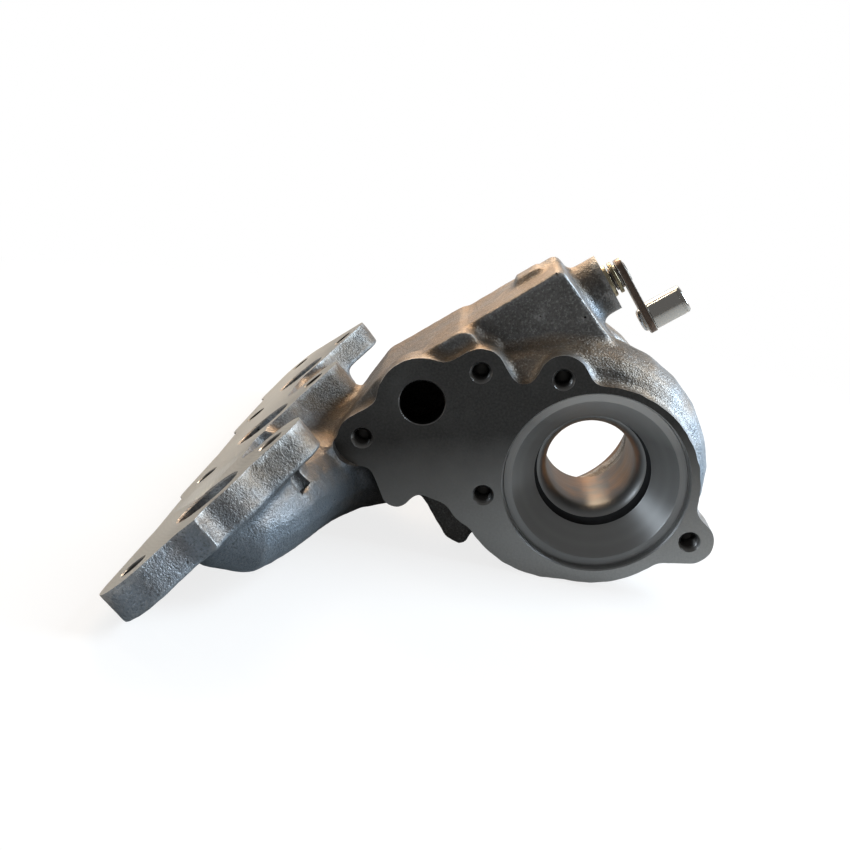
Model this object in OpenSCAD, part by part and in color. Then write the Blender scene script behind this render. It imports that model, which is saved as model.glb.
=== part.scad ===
// Turbine housing of a small turbocharger, cast in one piece with the exhaust manifold of a
// three-cylinder engine, and its wastegate: bushing, spindle, flap, lever and lever pin.
// The origin is the centre of the bearing bore at the machined face. The turbine axis is Y,
// +Y runs away from the bearing side, and the part stands on its manifold flange and scroll.

/* [Bearing face] */
// Radius of the pilot counterbore for the bearing housing
pilot_r = 36; // [35:0.5:38]
// Depth of the pilot counterbore
pilot_depth = 3.5; // [2.5:0.5:5]
// Radius where the conical land starts
land_r = 32.2; // [30:0.1:33.5]
// Radius of the round part of the face
face_r = 40.6; // [39.5:0.1:43]
// Thickness of the face plate
face_t = 14; // [12.5:0.5:17]
// Radius of the round lobe about each tapped hole
lobe_r = 9.4; // [8.5:0.1:10.5]
// Radius of the inside corners of the face outline
notch_r = 5; // [3:0.5:7]
// Tapping drill radius of the face holes
tap_r = 3.4; // [2.5:0.1:3.8]
// Depth of the tapped holes
tap_depth = 11; // [8:0.5:12]
// Radius of the countersink on the tapped holes
sink_r = 4.2; // [3.9:0.1:4.8]
// Radius of the bolt circle about the bore
bolt_circle_r = 43.8; // [43:0.1:45.5]
// Radius of the plain sensor port in the face
port_hole_r = 8.75; // [7:0.25:10]
// Wall round the sensor port
port_hole_wall = 8.8; // [6:0.2:10]

/* [Turbine] */
// Radius of the shroud at the wheel inlet
inducer_r = 22; // [21:0.1:22.6]
// Radius of the shroud at the wheel outlet
exducer_r = 18; // [16:0.1:18.8]
// Radius of the inner lip of the conical land
lip_r = 23.2; // [22.8:0.1:24]
// Depth of that lip below the face
lip_y = 15; // [14:0.25:16]
// Width of the nozzle slot that feeds the wheel
nozzle_w = 5.5; // [4:0.25:6.5]
// Axial length of the shroud contour
shroud_l = 7; // [5:0.5:9]

/* [Scroll] */
// Wall of the scroll, the runners and the collector
wall = 4.6; // [4:0.1:5.5]
// Radius of the inner edge of the scroll passage
scroll_in_r = 25.5; // [25:0.1:27]
// Radial half width of the passage at its tail
tail_r = 5.4; // [4.5:0.1:6]
// Even growth of the half width from tail to throat
scroll_fall = 3.5; // [2.5:0.1:4]
// Extra half width that swells towards the throat
throat_swell = 7; // [5:0.1:7.5]
// Axial half width at the tail
tail_w = 8; // [7:0.1:9]
// Axial half width at the throat
throat_w = 12.5; // [11:0.1:13]
// Direction of the throat seen from the bearing side
throat_angle = 135; // [130:1:140]
// Angle through which the scroll wraps
scroll_wrap = 318; // [300:1:325]

/* [Manifold flange] */
// Tilt of the flange from the ground
flange_tilt = 48.4; // [46:0.1:51]
// Distance of the flange face from the turbine axis
flange_reach = 94.8; // [92:0.1:98]
// Thickness of the flange
flange_t = 12; // [10:0.5:14]
// Distance from one cylinder to the next
pitch = 82; // [80:0.5:84]
// Number of cylinders
cylinders = 3;
// Radius of an exhaust port
port_r = 12.5; // [11.5:0.1:13]
// Radius of a stud hole
stud_r = 4.75; // [4:0.05:5.5]
// Radius of the flange round a stud hole
stud_lobe_r = 13; // [12:0.1:14]
// Radius of the flange round a port
collar_r = 20; // [19:0.1:22]
// Position of the middle port along the turbine axis
middle_port_y = 21; // [19:0.5:24]
// Height of the lower studs below the port along the flange
stud_low = 21.5; // [20:0.5:24]
// Height of the upper studs above the port along the flange
stud_high = 23; // [21:0.5:25]
// Distance of the lower studs in front of the port
stud_front = 26.7; // [24:0.1:28]
// Distance of the upper studs behind the port
stud_back = 17; // [15:0.5:20]

/* [Wastegate] */
// Tilt of the spindle axis from the ground
gate_tilt = 41; // [39:0.5:43]
// Height of the spindle above the turbine axis
spindle_h = 57.5; // [56:0.25:59]
// Position of the spindle along the turbine axis
spindle_y = 51; // [50:0.25:52.5]
// Radius of the spindle
spindle_r = 4; // [3.5:0.05:4.5]
// Running clearance of the spindle in its bushing
spindle_gap = 0.05; // [0.02:0.01:0.09]
// Wall of the bushing
bush_wall = 3; // [2.5:0.1:3.5]
// Radius of the cast boss
boss_r = 12.3; // [11:0.1:13.5]
// Reach of the boss end along the spindle
boss_end = 41; // [38:0.5:43]
// Radius of the wastegate port
gate_port_r = 9.5; // [8:0.1:10.5]
// Radius of the flap
flap_r = 12; // [11.5:0.1:13]
// Thickness of the flap
flap_t = 3.2; // [2.5:0.1:4]
// Distance from the spindle to the centre of the flap
arm_l = 17.5; // [16:0.25:19]
// Gap between the closed flap and its seat
seat_gap = 0.2; // [0.1:0.05:0.3]
// Distance from the spindle to the lever pin
lever_l = 21.4; // [19:0.1:25]
// Thickness of the lever
lever_t = 3.2; // [2.5:0.1:4]
// Radius of the lever pin
pin_r = 6.1; // [5:0.1:7]
// Length of the lever pin beyond the lever
pin_l = 15.5; // [12:0.5:18]
// Radius of the lever ends
lever_r = 6.6; // [6:0.1:7.5]
// Radius of the pin shank riveted into the lever
rivet_r = 3.6; // [3:0.1:4.2]

/* [Outlet] */
// Radius of the outlet bowl
bowl_r = 37.5; // [36:0.1:38]
// Radius of the outlet flange
outlet_flange_r = 45.5; // [44:0.1:47]
// Thickness of the outlet flange
outlet_flange_t = 10; // [8:0.5:12]
// Position of the outlet face along the turbine axis
outlet_y = 76; // [74:0.5:78]
// Radius of the circle of the outlet studs
outlet_stud_circle = 46.5; // [45:0.1:48]

/* [Hidden] */
$fn = 48;
ring_n = 16;
boss_n = 40;
slack = 0.4;
// Tapped holes of the face: three on the bolt circle, two on the wing
circle_bolts = [118.9, 197.6, 338.8];
wing_bolts = [[-92.2, 0.4], [-52.1, 34.9]];
function on_circle(r, a) = [r * cos(a), r * sin(a)];
bolts = concat([for (a = circle_bolts) on_circle(bolt_circle_r, a)], wing_bolts);
sensor_port = [-71.8, 19];
wing_corner = [-75.3, -19.4];
wing_corner_r = 5.8;

function unit(v) = v / norm(v);
function place(p) = [p[0], p[1], p[2]];

module on_face(y0, y1) translate([0, y1, 0]) rotate([90, 0, 0]) linear_extrude(y1 - y0) children();

module face_outline()
    offset(r = -notch_r) offset(r = notch_r) {
        translate([-0.5, -1.2]) circle(r = face_r);
        translate([-13, -2]) circle(r = face_r);
        translate(bolts[1]) circle(r = port_hole_wall + 5.8);
        translate(sensor_port) circle(r = port_hole_r + port_hole_wall);
        offset(r = lobe_r) {
            polygon([bolts[3], bolts[4], bolts[1], wing_corner + [13, 10.4]]);
            polygon([bolts[4], [-40, 20], [-48, 0]]);
            polygon([bolts[0], [-6, 20], [-28, 18]]);
            polygon([bolts[2], [16, 0], [14, -20]]);
        }
        offset(r = wing_corner_r) polygon([wing_corner, bolts[3] + [6, 0], sensor_port]);
    }

// Smooth path through a few points [x, y, z, radius]
function spline_point(a, b, c, d, t) =
    0.5 * (2 * b + (c - a) * t + (2 * a - 5 * b + 4 * c - d) * t * t + (3 * b - a - 3 * c + d) * t * t * t);
function spline(p, steps) = let (last = len(p) - 1) concat(
    [for (i = [0:last - 1], s = [0:steps - 1])
        spline_point(p[max(i - 1, 0)], p[i], p[i + 1], p[min(i + 2, last)], s / steps)],
    [p[last]]);
function headings(p) = let (last = len(p) - 1)
    [for (i = [0:last]) unit(place(p[min(i + 1, last)]) - place(p[max(i - 1, 0)]))];
// Side directions carried along the path without twist
function sides(t, u, i = 0) = i == len(t) ? [] :
    let (v = unit(u - (u * t[i]) * t[i])) concat([v], sides(t, v, i + 1));
// Ring about c: half width a along u, half widths front and back along the third direction
function bow(x, e) = sign(x) * pow(abs(x), e);
function ring(c, t, u, a, front, back, e = 1) = let (v = cross(t, u))
    [for (k = [0:ring_n - 1]) let (q = 360 * k / ring_n)
        c + a * bow(cos(q), e) * u + (sin(q) > 0 ? front : back) * bow(sin(q), e) * v];
function tube_rings(p, u, grow) = let (t = headings(p), s = sides(t, u))
    [for (i = [0:len(p) - 1]) ring(place(p[i]), t[i], s[i], p[i][3] + grow, p[i][3] + grow, p[i][3] + grow)];

module skin(rings) {
    n = len(rings);
    polyhedron(
        points = [for (r = rings, q = r) q],
        faces = concat(
            [[for (k = [0:ring_n - 1]) k]],
            [for (i = [0:n - 2], k = [0:ring_n - 1]) let (a = i * ring_n, b = (k + 1) % ring_n)
                [a + k, a + ring_n + k, a + ring_n + b, a + b]],
            [[for (k = [ring_n - 1:-1:0]) (n - 1) * ring_n + k]]));
}

// Manifold flange: local x runs up along the flange, z is its outward normal
flange_out = [-sin(flange_tilt), 0, cos(flange_tilt)];
flange_up = [cos(flange_tilt), 0, sin(flange_tilt)];
// The part stands on the lower edge of the flange and on the bottom of the face plate
bottom_s = (throat_angle + 90) / scroll_wrap;
rest_z = -(scroll_in_r + 2 * half_width(bottom_s) + wall);
low_edge = (rest_z - flange_out[2] * (flange_reach - flange_t)) / flange_up[2];
stud_row = low_edge + stud_lobe_r;
port_row = stud_row + stud_low;
function port_y(i) = middle_port_y + (i - 1) * pitch;
function port_at(i) = flange_reach * flange_out + port_row * flange_up + [0, port_y(i), 0];
function studs(i) = [[stud_row, port_y(i) - stud_front], [port_row + stud_high, port_y(i) + stud_back]];
module at_flange(depth) rotate([0, -flange_tilt, 0]) translate([0, 0, flange_reach - depth]) children();

end_stud = [stud_row + 7, port_y(cylinders - 1) + 56];
module flange_outline()
    offset(r = -6) offset(r = 6) {
        offset(r = stud_lobe_r) polygon([end_stud, [stud_row, port_y(cylinders - 1) + 30],
            [port_row - 2, port_y(cylinders - 1)], studs(cylinders - 1)[1]]);
        for (i = [0:cylinders - 1]) {
            translate([port_row, port_y(i)]) circle(r = collar_r);
            offset(r = stud_lobe_r) polygon([studs(i)[0], studs(i)[1], [port_row, port_y(i) + 2],
                [stud_row + 4, port_y(i) + 6]]);
        }
        translate([stud_row - stud_lobe_r + 5, port_y(0) - stud_front])
            square([port_r + 22, (cylinders - 1) * pitch + stud_front + 32]);
    }

// Bend of the front runner from its port back to the collector, mirrored for the back runner.
// Each point is [beside the port face, way to the next port, above the port, radius].
bend = [[13.9, 0.061, -7.8, 11.9], [17.9, 0.22, -8, 12.2], [20.4, 0.402, -9.8, 12.4], [22.9, 0.622, -12.3, 12.8],
    [27.4, 0.841, -13.8, 13.2], [36.4, 1.024, -12.6, 13.6], [50.9, 1.11, -6.3, 14.2], [64.9, 1.122, 1.2, 14]];
// Runners: first out of the flange, then towards the collector
function into_flange(i, d) = port_at(i) - d * flange_out;
function with_r(p, r) = [p[0], p[1], p[2], r];
function by_port(p, y) = [port_at(1)[0] + p[0], y, port_at(1)[2] + p[2], p[3]];
core_r = port_r - slack;
function runner_start(i) = [with_r(into_flange(i, -3), core_r), with_r(into_flange(i, flange_t), core_r),
    with_r(into_flange(i, flange_t + 5), core_r)];
front_runner = spline(concat([with_r(into_flange(0, -3), core_r), with_r(into_flange(0, flange_t), core_r)],
    [for (p = bend) by_port(p, port_y(0) + p[1] * pitch)]), 2);
back_runner = spline(concat([with_r(into_flange(2, -3), core_r), with_r(into_flange(2, flange_t), core_r)],
    [for (p = bend) by_port(p, max(port_y(2) - p[1] * pitch, port_y(1) + 5))]), 2);

// Scroll: stations from the throat to the tail
function half_width(s) = tail_r + scroll_fall * (1 - s) + throat_swell * pow(1 - s, 7);
function half_depth(s) = tail_w + (throat_w - tail_w) * (1 - s);
scroll_steps = 21;
scroll_front = lip_y + 0.6;
function scroll_at(s) = let (a = throat_angle - s * scroll_wrap, r = scroll_in_r + half_width(s))
    [r * cos(a), scroll_front + half_depth(s), r * sin(a)];
function scroll_rings(grow, front) = [for (i = [0:scroll_steps - (front > 0 ? 0 : 1)]) let (s = i / scroll_steps,
    a = throat_angle - s * scroll_wrap)
    ring(scroll_at(s), [sin(a), 0, -cos(a)], [cos(a), 0, sin(a)], half_width(s) + grow,
        front > 0 ? half_depth(s) + scroll_front - front : half_depth(s), half_depth(s) + grow,
        front > 0 ? 0.76 : 1)];
throat = scroll_at(0);
main_duct = spline(concat(runner_start(1), [by_port([25.9, 0, -13.4, 13.6], port_y(1) + 0.5),
    by_port([40.9, 0, -5.3, 16.2], port_y(1) + 2), [-76, 25, 0, 18], [-60, 26.5, 11, 17.5], [-44.5, 27.8, 19.5, 16.5],
    with_r(throat - 1 * [cos(45), 0, sin(45)], 15.9)]), 2);
// The duct flattens from round to the scroll's section at the throat
function duct_depth(r, i) = let (s = i / (len(main_duct) - 1)) r + (throat_w - r) * pow(s, 3);
function duct_rings(grow) = let (t = headings(main_duct), u = sides(t, flange_up))
    [for (i = [0:len(main_duct) - 1]) let (r = main_duct[i][3])
        ring(place(main_duct[i]), t[i], u[i], r + grow, duct_depth(r, i) + grow, duct_depth(r, i) + grow)];

module passages() {
    skin(concat(duct_rings(0), scroll_rings(0, 0)));
    skin(tube_rings(front_runner, flange_up, 0));
    skin(tube_rings(back_runner, flange_up, 0));
}

// Wastegate frame: local x runs along the spindle, z away from the turbine
module at_gate() rotate([0, -gate_tilt, 0]) children();
gate_x = 3;
gate_z = spindle_h - arm_l;
seat_y = 45;
chamber = [[-9, 24], [23, 24], [23, 70], [-9, 70]];
body_back = 63;
body_front = 18;

module gate_prism(points, y0, y1, r)
    at_gate() on_face(y0, y1) offset(r = r) offset(delta = -r) polygon(points);

module upper_body() {
    gate_prism([[-84, 40], [-84, 59], [-78, 67], [-54, 77], [-12, 77], [-12, 40]], 6, body_back, 6);
    gate_prism([[-30, 36], [-30, 75.6], [28, 76.8], [30.5, 50], [33, 32], [10, 20]], body_front, body_back, 3);
}

module plenum()
    gate_prism([[-77, 42], [-77, 57], [-72, 62], [-52, 71.5], [-16, 71.5], [-16, 44]], 20, 56, 5);

module chamber_space() difference() {
    gate_prism(chamber, 24, outlet_y - 7, 4);
    skin(concat(duct_rings(wall), scroll_rings(wall, 4)));
    at_gate() translate([-12, 20, 20]) cube([40, seat_y - 20, 36]);
}

bowl = [-17, 7];
outlet_studs = [for (a = [5, 100, 175, 236]) on_circle(outlet_stud_circle, a)];
module outlet_outline()
    offset(r = -5) offset(r = 5) {
        translate(bowl) circle(r = outlet_flange_r);
        for (s = outlet_studs) translate(bowl + s) circle(r = 9);
    }

module pads() {
    // raised pad on the roof of the body
    at_gate() translate([9, 38, 74]) cube([11.5, 14, 5]);
    at_gate() translate([25, 46, 74]) sphere(r = 4, $fn = 16);
    // lug behind the face plate
    on_face(12, 21) offset(r = 3) polygon([[-60, -17], [-63, -21.5], [-50.5, -36.8], [-46.5, -38], [-44, -29]]);
    // ledge between the front runner and the collector
    translate([port_at(1)[0], 0, -24]) {
        translate([3, -6, 0]) cube([29, 52, 20]);
        translate([29, 1, 0]) cube([14, 44, 20]);
    }
}

module cast_outside() {
    on_face(0, face_t) face_outline();
    on_face(face_t - 1, 34) circle(r = 35);
    skin(concat(duct_rings(wall), scroll_rings(wall, 4)));
    skin(tube_rings(front_runner, flange_up, wall));
    skin(tube_rings(back_runner, flange_up, wall));
    upper_body();
    at_flange(flange_t) linear_extrude(flange_t + 1) flange_outline();
    at_gate() translate([20, spindle_y, spindle_h]) rotate([0, 90, 0])
        cylinder(r = boss_r, h = boss_end - 20, $fn = boss_n);
    on_face(outlet_y - outlet_flange_t, outlet_y) outlet_outline();
    on_face(48, outlet_y - 1) translate(bowl) circle(r = bowl_r + 5);
    on_face(30, 60) circle(r = exducer_r + 6);
    pads();
}

module casting() resize([0, 0, 0]) difference() {
    cast_outside($fn = 32);
    passages();
    plenum();
    chamber_space();
    // the flange and the outlet end flat
    at_flange(0) translate([-200, -200, 0]) cube([300, 500, 30]);
}

module hole(y0, y1, r, p = [0, 0]) translate([p[0], y1, p[1]]) rotate([90, 0, 0]) cylinder(r = r, h = y1 - y0);
module cone(y0, y1, r0, r1, p = [0, 0])
    translate([p[0], y1, p[1]]) rotate([90, 0, 0]) cylinder(r1 = r1, r2 = r0, h = y1 - y0);

module machining() {
    // bearing pilot, conical land, nozzle slot, shroud and exducer bore
    hole(-1, pilot_depth, pilot_r);
    cone(pilot_depth - 0.01, lip_y, land_r, lip_r);
    hole(lip_y - 0.01, lip_y + nozzle_w, inducer_r);
    rotate([-90, 0, 0]) translate([0, 0, lip_y]) difference() {
        cylinder(r = scroll_in_r + 7, h = nozzle_w);
        translate([0, 0, -1]) cylinder(r = inducer_r - 1, h = nozzle_w + 2);
    }
    cone(lip_y + nozzle_w - 0.01, lip_y + nozzle_w + shroud_l, inducer_r, exducer_r);
    hole(lip_y + nozzle_w + shroud_l - 0.01, outlet_y, exducer_r);
    // tapped holes
    for (b = bolts) {
        hole(-1, tap_depth, tap_r, b);
        cone(-0.01, sink_r - tap_r, sink_r, tap_r, b);
    }
    hole(-1, 24, port_hole_r, sensor_port);
    // outlet bowl
    hole(58, outlet_y + 1, bowl_r, bowl);
    for (s = outlet_studs) hole(outlet_y - outlet_flange_t - 4, outlet_y + 1, tap_r, bowl + s);
    // ports and stud holes of the manifold flange
    for (i = [0:cylinders - 1]) {
        at_flange(flange_t + 0.5) translate([port_row, port_y(i), 0]) cylinder(r = port_r, h = flange_t + 2);
        for (s = i == cylinders - 1 ? concat(studs(i), [end_stud]) : studs(i))
            at_flange(flange_t + 9) translate([s[0], s[1], 0]) cylinder(r = stud_r, h = flange_t + 10);
    }
    // wastegate port, its seat and the spindle boss
    at_gate() translate([gate_x, 0, gate_z]) {
        hole(30, seat_y + 1, gate_port_r);
        hole(seat_y, seat_y + 6, flap_r + 1);
    }
    at_gate() translate([18, spindle_y, spindle_h]) rotate([0, 90, 0])
        cylinder(r = spindle_r + spindle_gap + bush_wall, h = boss_end);
}

module turbine_housing() color("#8a8782") difference() {
    casting();
    machining();
}

// Wastegate. Everything but the bushing turns about the spindle axis.
module on_spindle(a0, a1, r, h = spindle_h, y = spindle_y, r2 = undef)
    at_gate() translate([a0, y, h]) rotate([0, 90, 0])
        cylinder(r1 = r, r2 = is_undef(r2) ? r : r2, h = a1 - a0);

bush_in = 19;
bush_out = boss_end + 1.6;
lever_a = 46.5;
stem_r = 3;
flap_y = seat_y + seat_gap;
arm_y = flap_y + flap_t + 0.3;
arm_t = 4.4;
hub_r = 5.6;

module wastegate_bushing() color("#b9a98c") difference() {
    on_spindle(bush_in, bush_out, spindle_r + spindle_gap + bush_wall);
    on_spindle(bush_in - 1, bush_out + 1, spindle_r + spindle_gap);
    on_spindle(bush_out - 0.6, bush_out + 0.01, spindle_r + spindle_gap, r2 = spindle_r + spindle_gap + 0.61);
}

module wastegate_spindle() color("#77726a") difference() {
    union() {
        on_spindle(gate_x - 6, lever_a + lever_t, spindle_r);
        on_spindle(bush_out + 0.4, lever_a, spindle_r + 1.2);
        on_spindle(gate_x - 6.5, gate_x + 6.5, hub_r);
        at_gate() on_face(arm_y, arm_y + arm_t) hull() {
            translate([gate_x, gate_z]) circle(r = stem_r + 3);
            translate([gate_x - 5.5, spindle_h - 2]) square([11, 2]);
        }
    }
    at_gate() translate([gate_x, 0, gate_z]) hole(arm_y - 1, arm_y + arm_t + 1, stem_r + 0.2);
}

module wastegate_flap() color("#6f6a63") at_gate() translate([gate_x, 0, gate_z]) {
    hole(flap_y, flap_y + flap_t, flap_r);
    hole(flap_y + flap_t - 0.01, arm_y + arm_t + 2.4, stem_r);
}

module flap_washer() color("#8d877d") at_gate() translate([gate_x, 0, gate_z]) difference() {
    hole(arm_y + arm_t + 0.2, arm_y + arm_t + 1.8, stem_r + 2.6);
    hole(arm_y + arm_t, arm_y + arm_t + 3, stem_r);
}

module spindle_ring() color("#a49c8f") difference() {
    on_spindle(bush_out + 1.2, bush_out + 2.8, spindle_r + 2.9);
    on_spindle(bush_out + 1, bush_out + 3, spindle_r + 1.2);
}

module wastegate_lever() color("#5e5952") difference() {
    at_gate() translate([lever_a, spindle_y, spindle_h]) rotate([0, 90, 0]) linear_extrude(lever_t) union() {
        hull() {
            circle(r = lever_r);
            translate([lever_l, 0]) circle(r = lever_r);
        }
        translate([lever_l - 2.5, lever_r - 2]) square([5, 5]);
    }
    on_spindle(lever_a - 1, lever_a + lever_t + 1, spindle_r);
    on_spindle(lever_a - 1, lever_a + lever_t + 1, rivet_r, spindle_h - lever_l);
}

module lever_pin() color("#c9c6bf") {
    on_spindle(lever_a + lever_t, lever_a + lever_t + pin_l - 1, pin_r, spindle_h - lever_l);
    on_spindle(lever_a + lever_t + pin_l - 1.01, lever_a + lever_t + pin_l, pin_r, spindle_h - lever_l, r2 = pin_r - 1);
    on_spindle(lever_a - 1.2, lever_a + lever_t + 0.01, rivet_r, spindle_h - lever_l);
    on_spindle(lever_a - 1.8, lever_a, rivet_r + 0.6, spindle_h - lever_l, r2 = rivet_r + 1.4);
}

turbine_housing();
wastegate_bushing();
wastegate_spindle();
wastegate_flap();
flap_washer();
spindle_ring();
wastegate_lever();
lever_pin();
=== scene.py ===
import math

import bmesh
import bpy
import numpy as np
from mathutils import Matrix, Vector, noise


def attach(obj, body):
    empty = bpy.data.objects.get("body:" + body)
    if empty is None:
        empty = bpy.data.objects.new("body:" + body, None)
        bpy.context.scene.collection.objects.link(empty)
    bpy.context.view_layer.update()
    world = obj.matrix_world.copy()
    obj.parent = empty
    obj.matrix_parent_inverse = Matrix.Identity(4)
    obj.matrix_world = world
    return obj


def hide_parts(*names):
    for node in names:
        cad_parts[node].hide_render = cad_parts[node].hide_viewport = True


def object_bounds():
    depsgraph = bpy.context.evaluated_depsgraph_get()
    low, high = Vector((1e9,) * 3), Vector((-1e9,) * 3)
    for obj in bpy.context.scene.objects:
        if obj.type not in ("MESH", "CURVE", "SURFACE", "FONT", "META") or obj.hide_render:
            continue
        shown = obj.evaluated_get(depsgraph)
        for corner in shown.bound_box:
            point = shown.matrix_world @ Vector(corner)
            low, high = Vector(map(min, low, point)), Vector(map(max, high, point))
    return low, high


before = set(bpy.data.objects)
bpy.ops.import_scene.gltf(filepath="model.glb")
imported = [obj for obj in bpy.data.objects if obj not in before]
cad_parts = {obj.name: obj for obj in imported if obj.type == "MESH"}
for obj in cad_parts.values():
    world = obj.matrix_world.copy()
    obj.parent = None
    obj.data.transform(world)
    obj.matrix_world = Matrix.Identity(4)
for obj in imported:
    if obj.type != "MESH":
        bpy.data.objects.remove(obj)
cad_box = [list(corner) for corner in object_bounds()]
scene = bpy.context.scene
MM = 0.001


# Iron casting with scroll, runners, manifold flange and gate body: ductile iron, sand cast in one
# go and shot blasted. The bearing face, the flanges, the bores and the threads are cut into it
# afterwards, so it is made the same way here: a rough casting with allowance, then the cutters.

FLANGE_TILT = 48.4
GATE_TILT = 41.0
FLANGE_REACH = 94.8
FLANGE_T = 12.0
FLANGE_BACK = FLANGE_REACH - FLANGE_T
OUTLET_Y = 76.0
OUTLET_T = 10.0
BOWL_AT = (-17.0, 7.0)
BOWL_R = 37.5
PORT_ROW = -96.45
STUD_ROW = -117.95
PORT_YS = (-61.0, 21.0, 103.0)
PORT_R = 12.5
STUD_R = 4.75
PILOT_R = 36.0
PILOT_DEPTH = 3.5
NOZZLE_R = 32.5
NOZZLE_NEAR = 15.0
NOZZLE_FAR = 20.5
EXDUCER_R = 18.0
TAP_R = 3.4
THREAD_R = 3.95
THREAD_PITCH = 1.25
TAP_DEPTH = 11.0
SENSOR_AT = (-71.8, 19.0)
SENSOR_R = 8.75
BOSS_END = 41.0
BUSH_R = 7.05
GATE_PORT_R = 9.5
SEAT_Y = 45.0
SEAT_R = 13.0
SPINDLE_Y, SPINDLE_UP = 51.0, 57.5
ALLOWANCE = 3.4
SHELL_STEP = 0.8
FILLET = 2.6
WAVE_HEIGHT = 0.17
BROAD_WAVES, FINE_WAVES = 85, 300
CASTING_TRIANGLES = 150000
ON_PLANE = 1e-5


def point_on_circle(r, degrees):
    return (r * math.cos(math.radians(degrees)), r * math.sin(math.radians(degrees)))


FACE_TAPS = [point_on_circle(43.8, a) for a in (118.9, 197.6, 338.8)] + [(-92.2, 0.4), (-52.1, 34.9)]
OUTLET_TAPS = [(BOWL_AT[0] + x, BOWL_AT[1] + z)
               for x, z in (point_on_circle(46.5, a) for a in (5, 100, 175, 236))]
FLANGE_STUDS = [(s, y + dy) for y in PORT_YS for s, dy in ((STUD_ROW, -26.7), (PORT_ROW + 23, 17))]
FLANGE_STUDS.append((STUD_ROW + 7, PORT_YS[2] + 56))

gate = Matrix.Rotation(math.radians(-GATE_TILT), 4, "Y")
flange = Matrix.Rotation(math.radians(-FLANGE_TILT), 4, "Y")
flange_out = (flange @ Vector((0, 0, 1, 0))).to_3d()


def along_turbine(x=0.0, z=0.0):
    """A place whose own z axis is the turbine axis, through the point x, z."""
    return Matrix(((1, 0, 0, x), (0, 0, 1, 0), (0, -1, 0, z), (0, 0, 0, 1)))


def along_spindle(y=SPINDLE_Y, height=SPINDLE_UP):
    """A place whose own z axis runs out along the wastegate spindle."""
    return gate @ Matrix.Translation((0.0, y, height)) @ Matrix.Rotation(math.radians(90), 4, "Y")


def out_of_flange(s, y):
    """A place whose own z axis leaves the manifold flange at right angles."""
    return flange @ Matrix.Translation((s, y, 0))


def piece_from(name, points, faces):
    mesh = bpy.data.meshes.new(name)
    mesh.from_pydata([tuple(MM * c for c in p) for p in points], [], faces)
    work = bmesh.new()
    work.from_mesh(mesh)
    bmesh.ops.recalc_face_normals(work, faces=work.faces)
    work.to_mesh(mesh)
    work.free()
    piece = bpy.data.objects.new(name, mesh)
    scene.collection.objects.link(piece)
    return piece


def turned(name, profile, place, steps=96):
    """Turns a closed profile of (radius, height) points, in mm, about the z axis of place."""
    points, faces, rows = [], [], []
    for r, h in profile:
        if r < 1e-6:
            rows.append([len(points)])
            points.append(place @ Vector((0, 0, h)))
            continue
        rows.append(list(range(len(points), len(points) + steps)))
        for k in range(steps):
            a = 2 * math.pi * k / steps
            points.append(place @ Vector((r * math.cos(a), r * math.sin(a), h)))
    for a, b in zip(rows, rows[1:] + rows[:1]):
        if len(a) == 1 and len(b) == 1:
            continue
        for k in range(steps):
            n = (k + 1) % steps
            if len(a) == 1:
                faces.append((a[0], b[k], b[n]))
            elif len(b) == 1:
                faces.append((a[k], a[n], b[0]))
            else:
                faces.append((a[k], a[n], b[n], b[k]))
    return piece_from(name, points, faces)


def slab(name, outline, place, low, high):
    """A plate with the given outline, in mm, between two heights along the z axis of place."""
    n = len(outline)
    points = [place @ Vector((x, y, h)) for h in (low, high) for x, y in outline]
    faces = [tuple(range(n)), tuple(range(2 * n - 1, n - 1, -1))]
    faces += [(k, (k + 1) % n, n + (k + 1) % n, n + k) for k in range(n)]
    return piece_from(name, points, faces)


def together(name, parts):
    """Joins separate meshes into one object without changing their shapes."""
    work = bmesh.new()
    for part in parts:
        work.from_mesh(part.data)
        bpy.data.objects.remove(part)
    mesh = bpy.data.meshes.new(name)
    work.to_mesh(mesh)
    work.free()
    piece = bpy.data.objects.new(name, mesh)
    scene.collection.objects.link(piece)
    return piece


def settle(piece):
    """Keeps what the modifiers of a piece give as its mesh."""
    bpy.context.view_layer.update()
    made = bpy.data.meshes.new_from_object(piece.evaluated_get(bpy.context.evaluated_depsgraph_get()))
    piece.modifiers.clear()
    piece.data = made


def remesh(piece, step):
    tool = piece.modifiers.new("Skin", "REMESH")
    tool.mode, tool.voxel_size, tool.use_smooth_shade = "VOXEL", step * MM, True
    settle(piece)


def relax(piece, rounds):
    tool = piece.modifiers.new("Relax", "SMOOTH")
    tool.factor, tool.iterations = 0.5, rounds
    settle(piece)


def swell(piece, distance):
    tool = piece.modifiers.new("Swell", "DISPLACE")
    tool.mid_level, tool.strength, tool.direction = 0.0, distance * MM, "NORMAL"
    settle(piece)


def machine(piece, cutter, kind="DIFFERENCE"):
    """One cut, or one union, with an exact tool body that is thrown away afterwards."""
    tool = piece.modifiers.new("Cut", "BOOLEAN")
    tool.operation, tool.solver, tool.object = kind, "MANIFOLD", cutter
    before = len(piece.data.polygons)
    settle(piece)
    if len(piece.data.polygons) < before // 3:
        raise RuntimeError("a cut with " + cutter.name + " failed")
    bpy.data.objects.remove(cutter)


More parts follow.
